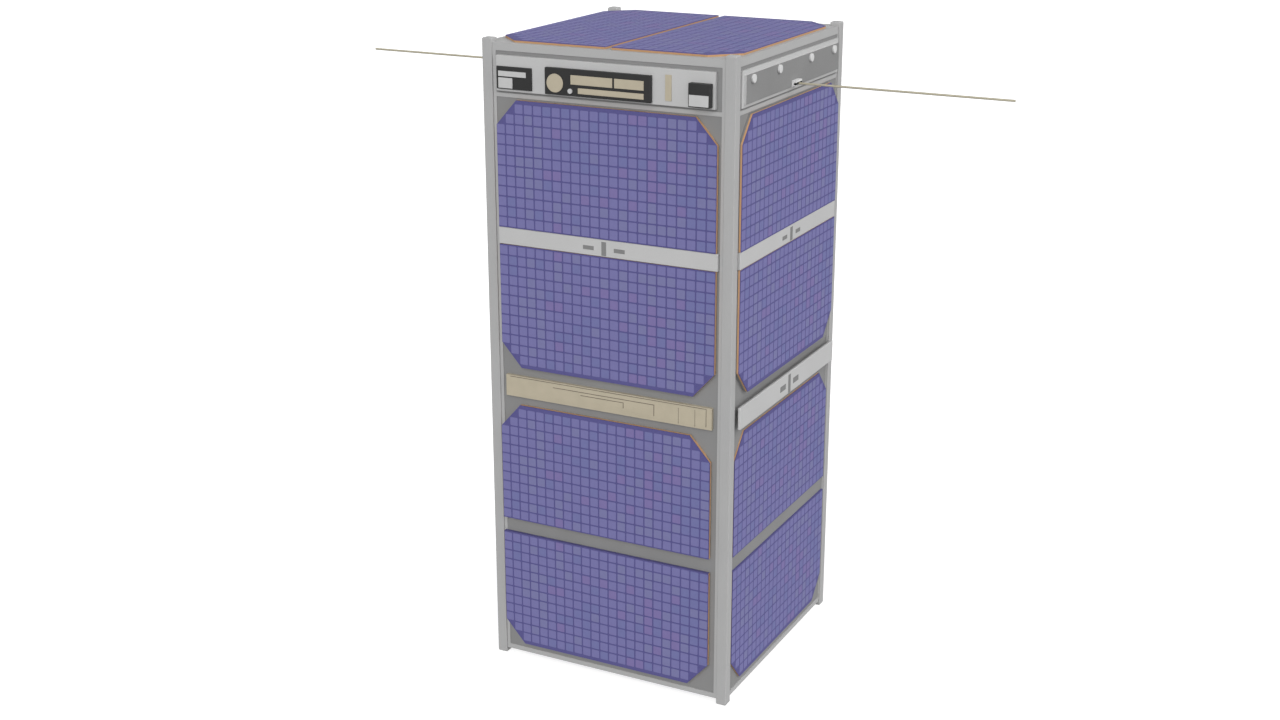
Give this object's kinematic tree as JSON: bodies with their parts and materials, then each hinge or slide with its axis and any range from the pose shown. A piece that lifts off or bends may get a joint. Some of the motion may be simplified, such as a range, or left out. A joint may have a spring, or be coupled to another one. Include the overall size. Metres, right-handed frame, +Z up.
{
  "type": "cube satellite",
  "caption": "Two-unit cube satellite with corner rails, solar boards on every side, an instrument bay under the top plate and folding antenna rods.",
  "frame": {"origin": "centre of the four rail feet, on the plane they stand on", "axes": "+Z up along the rails, -Y out of the front face with the instruments, +X out of the right face with an antenna"},
  "size_m": [0.264, 0.1046, 0.2446],
  "materials": {
    "rail_metal": "hard anodised, satin",
    "frame_metal": "bead blasted, satin",
    "wall_metal": "dark matt",
    "avionics": "plain",
    "board": "copper coloured edge",
    "solar_cell": "violet blue cells under cover glass",
    "bright_metal": "clear anodised, satin",
    "window_beige": "matt beige",
    "box_black": "matt black",
    "cover_light": "matt light grey",
    "cover_dark": "dark matt",
    "hinge_white": "white",
    "antenna": "dull beryllium copper"
  },
  "bodies": {
    "bus": {"rail_front_left": "rail_metal", "rail_front_right": "rail_metal", "rail_back_right": "rail_metal", "rail_back_left": "rail_metal", "side_frame_front": "frame_metal", "side_frame_right": "frame_metal", "side_frame_back": "frame_metal", "side_frame_left": "frame_metal", "side_wall_front": "wall_metal", "side_wall_right": "wall_metal", "side_wall_back": "wall_metal", "side_wall_left": "wall_metal", "top_plate": "frame_metal", "bottom_plate": "frame_metal", "avionics_stack": "avionics", "solar_board_front_1": "board", "solar_board_front_2": "board", "solar_board_front_3": "board", "solar_board_front_4": "board", "solar_board_right_1": "board", "solar_board_right_2": "board", "solar_board_right_3": "board", "solar_board_right_4": "board", "solar_board_back_1": "board", "solar_board_back_2": "board", "solar_board_back_3": "board", "solar_board_back_4": "board", "solar_board_left_1": "board", "solar_board_left_2": "board", "solar_board_left_3": "board", "solar_board_left_4": "board", "solar_board_top_left": "board", "solar_board_top_right": "board", "solar_board_bottom_left": "board", "solar_board_bottom_right": "board", "solar_cells_front": "solar_cell", "solar_cells_right": "solar_cell", "solar_cells_back": "solar_cell", "solar_cells_left": "solar_cell", "solar_cells_top": "solar_cell", "solar_cells_bottom": "solar_cell", "upper_bars": "bright_metal", "lower_bars": "bright_metal", "bay_plate_front": "bright_metal", "bay_plate_back": "bright_metal", "antenna_tray_right": "bright_metal", "antenna_tray_left": "bright_metal", "service_strips": "window_beige", "instrument_windows": "window_beige", "instrument_box_left": "box_black", "instrument_box_middle": "box_black", "instrument_box_right": "box_black", "instrument_covers": "cover_light", "tray_buttons": "cover_light", "tray_cover_right": "cover_dark", "tray_cover_left": "cover_dark", "antenna_hinge_right": "hinge_white", "antenna_hinge_left": "hinge_white"},
    "antenna_right": {"antenna_rod_right": "antenna"},
    "antenna_left": {"antenna_rod_left": "antenna"}
  },
  "joints": [
    {"name": "antenna_right_fold", "type": "hinge", "parent": "bus", "child": "antenna_right", "pos_m": [0.052, 0, 0.2284], "axis": [0, 1, 0], "range_deg": [0, 90], "stiffness_Nm_per_rad": 0.0005, "springref_deg": -68.75},
    {"name": "antenna_left_fold", "type": "hinge", "parent": "bus", "child": "antenna_left", "pos_m": [-0.052, 0, 0.2284], "axis": [0, -1, 0], "range_deg": [0, 90], "stiffness_Nm_per_rad": 0.0005, "springref_deg": -68.75}
  ]
}
